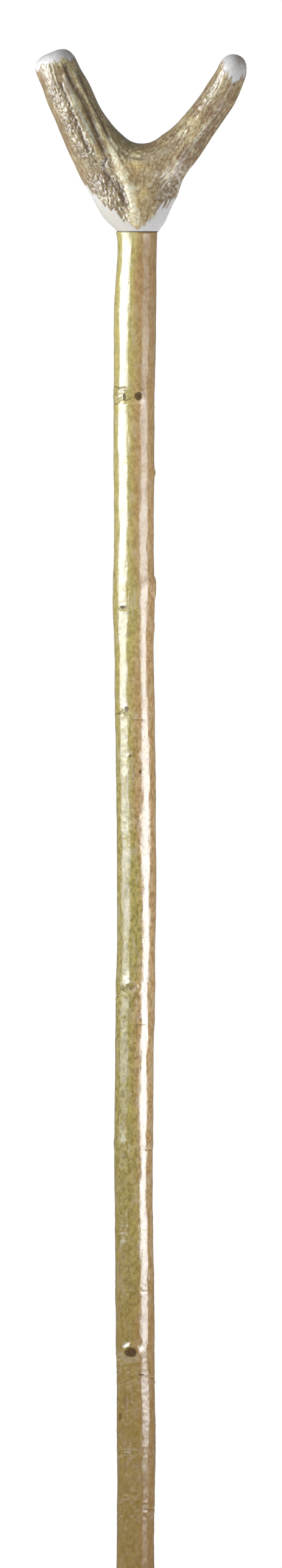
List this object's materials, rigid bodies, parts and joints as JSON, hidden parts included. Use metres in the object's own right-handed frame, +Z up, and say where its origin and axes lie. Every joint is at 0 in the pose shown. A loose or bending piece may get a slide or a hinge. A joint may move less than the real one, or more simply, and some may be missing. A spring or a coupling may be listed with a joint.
{
  "type": "thumb stick",
  "caption": "Walking stick with a V-shaped forked antler handle on a bark-on hazel shank and a metal foot ferrule.",
  "frame": {"origin": "centre of the ferrule's flat underside, where the stick meets the ground", "axes": "+Z up the shank to the fork, +X across the fork towards its thin arm, +Y through the fork's thickness, away from a viewer who has the thick arm on the left"},
  "size_m": [0.1285, 0.0277, 1.2996],
  "materials": {
    "antler": "waxed deer antler, brown and pearled with ivory tips and base",
    "hazel_bark": "hazel with its bark on, mottled silver and olive, under gloss varnish",
    "stud_steel": "plain threaded rod",
    "epoxy": "dark cured epoxy",
    "ferrule_brass": "satin, slightly worn",
    "tread_steel": "turned and scuffed"
  },
  "bodies": {
    "root": {"antler_fork": "antler", "hazel_shank": "hazel_bark", "joint_stud": "stud_steel", "stud_epoxy_in_antler": "epoxy", "stud_epoxy_in_shank": "epoxy", "joint_glue_bed": "epoxy", "ferrule_cup": "ferrule_brass", "ferrule_tread": "tread_steel", "ferrule_glue": "epoxy", "ferrule_pins": "ferrule_brass"}
  },
  "joints": []
}
